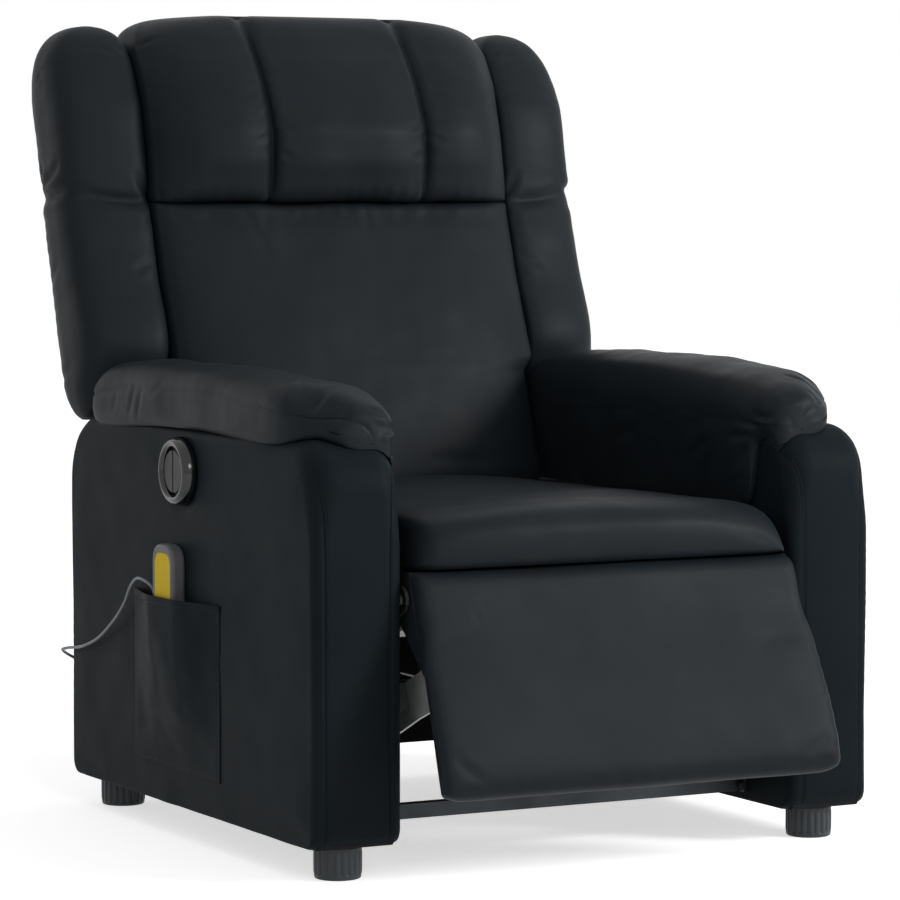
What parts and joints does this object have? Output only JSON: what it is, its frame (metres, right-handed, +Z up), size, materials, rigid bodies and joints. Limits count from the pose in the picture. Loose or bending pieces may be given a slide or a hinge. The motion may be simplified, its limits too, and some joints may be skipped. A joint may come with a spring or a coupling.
{
  "type": "power recliner massage armchair",
  "caption": "Wing-back leather recliner with vibration massage: reclining back, fold-out footrest, padded arms, round feet, side switch, pocket and corded remote.",
  "frame": {"origin": "on the floor, under the middle of the chair's outline", "axes": "+Z up from the floor; -Y is the way the seated person looks; -X is the seated person's right-hand side, with the switch and the pocket"},
  "size_m": [0.7994, 0.9965, 1.048],
  "materials": {
    "leather": "grained, satin",
    "timber": "raw",
    "lining": "woven",
    "foot_plastic": "moulded ribs",
    "dark_steel": "semi-gloss",
    "black_plastic": "gloss",
    "zinc": "dull",
    "steel": "plated",
    "massage_plastic": "matt",
    "grey_plastic": "matt",
    "yellow_plastic": "satin",
    "cord_plastic": "satin"
  },
  "bodies": {
    "frame": {"arm_cover_left": "leather", "arm_cover_right": "leather", "arm_core_left": "timber", "arm_core_right": "timber", "arm_pad_left": "leather", "arm_pad_right": "leather", "foot_front_left": "foot_plastic", "foot_rear_left": "foot_plastic", "foot_front_right": "foot_plastic", "foot_rear_right": "foot_plastic", "front_stretcher": "dark_steel", "rear_panel": "lining", "mains_inlet": "black_plastic", "cord_gland": "black_plastic", "control_box": "black_plastic", "seat_frame": "timber", "seat_webbing": "lining", "seat_cushion": "leather", "seat_motor_1": "massage_plastic", "seat_motor_2": "massage_plastic", "mechanism_plate_left": "steel", "mechanism_plate_right": "steel", "actuator_rail": "zinc", "actuator_gearbox": "black_plastic", "actuator_motor": "zinc", "switch_housing": "black_plastic", "side_pocket": "leather", "remote_cord": "cord_plastic"},
    "back": {"back_board": "timber", "back_rear_cover": "leather", "back_bracket_left": "steel", "back_bracket_right": "steel", "back_cushion": "leather", "head_cushion": "leather", "back_motor_1": "massage_plastic", "back_motor_2": "massage_plastic", "back_motor_3": "massage_plastic", "back_motor_4": "massage_plastic", "back_wing_left": "leather", "back_wing_right": "leather"},
    "footrest": {"footrest_pad": "leather", "footrest_board": "timber", "footrest_hinge_rod": "steel", "footrest_motor_1": "massage_plastic", "footrest_motor_2": "massage_plastic", "footrest_bracket_left": "steel", "footrest_bracket_right": "steel"},
    "drive": {"torsion_tube": "steel"},
    "front_link_left": {"front_link_left": "steel"},
    "front_link_right": {"front_link_right": "steel"},
    "carriage": {"actuator_carriage": "black_plastic"},
    "remote": {"remote_case": "grey_plastic", "remote_face": "yellow_plastic", "remote_strain_relief": "grey_plastic"},
    "remote_button_1": {"remote_button_1": "grey_plastic"},
    "remote_button_2": {"remote_button_2": "grey_plastic"},
    "remote_button_3": {"remote_button_3": "grey_plastic"},
    "switch_button_open": {"switch_button_open": "black_plastic"},
    "switch_button_close": {"switch_button_close": "black_plastic"}
  },
  "joints": [
    {"name": "back_recline", "type": "hinge", "parent": "frame", "child": "back", "pos_m": [0.0097, 0.2017, 0.33], "axis": [-1, 0, 0], "range_deg": [0, 40]},
    {"name": "footrest_fold", "type": "hinge", "parent": "frame", "child": "footrest", "pos_m": [0.0097, -0.3753, 0.331], "axis": [-1, 0, 0], "range_deg": [-24, 66]},
    {"name": "drive_turn", "type": "hinge", "parent": "frame", "child": "drive", "pos_m": [0.0097, -0.27505, 0.28573], "axis": [-1, 0, 0], "range_deg": [-24.5, 66.5]},
    {"name": "knee_left", "type": "hinge", "parent": "drive", "child": "front_link_left", "pos_m": [0.2437, -0.26222, 0.15376], "axis": [-1, 0, 0], "range_deg": [-66.5, 24.5]},
    {"name": "knee_right", "type": "hinge", "parent": "drive", "child": "front_link_right", "pos_m": [-0.2243, -0.26222, 0.15376], "axis": [-1, 0, 0], "range_deg": [-66.5, 24.5]},
    {"name": "carriage_travel", "type": "slide", "parent": "frame", "child": "carriage", "axis": [0, -1, 0], "range_m": [-0.0232, 0.0628]},
    {"name": "remote_lift", "type": "slide", "parent": "frame", "child": "remote", "axis": [0, 0, 1], "range_m": [0, 0.045]},
    {"name": "remote_press_1", "type": "slide", "parent": "remote", "child": "remote_button_1", "axis": [1, 0, 0], "range_m": [0, 0.0008], "stiffness_N_per_m": 900},
    {"name": "remote_press_2", "type": "slide", "parent": "remote", "child": "remote_button_2", "axis": [1, 0, 0], "range_m": [0, 0.0008], "stiffness_N_per_m": 900},
    {"name": "remote_press_3", "type": "slide", "parent": "remote", "child": "remote_button_3", "axis": [1, 0, 0], "range_m": [0, 0.0008], "stiffness_N_per_m": 900},
    {"name": "switch_press_open", "type": "slide", "parent": "frame", "child": "switch_button_open", "axis": [1, 0, 0], "range_m": [0, 0.003], "stiffness_N_per_m": 700},
    {"name": "switch_press_close", "type": "slide", "parent": "frame", "child": "switch_button_close", "axis": [1, 0, 0], "range_m": [0, 0.003], "stiffness_N_per_m": 700}
  ],
  "couplings": [
    {"joint": "drive_turn", "follows": "footrest_fold", "ratio": 1},
    {"joint": "knee_left", "follows": "footrest_fold", "ratio": -1},
    {"joint": "knee_right", "follows": "footrest_fold", "ratio": -1},
    {"joint": "carriage_travel", "follows": "footrest_fold", "m_per_rad": 0.05402}
  ]
}
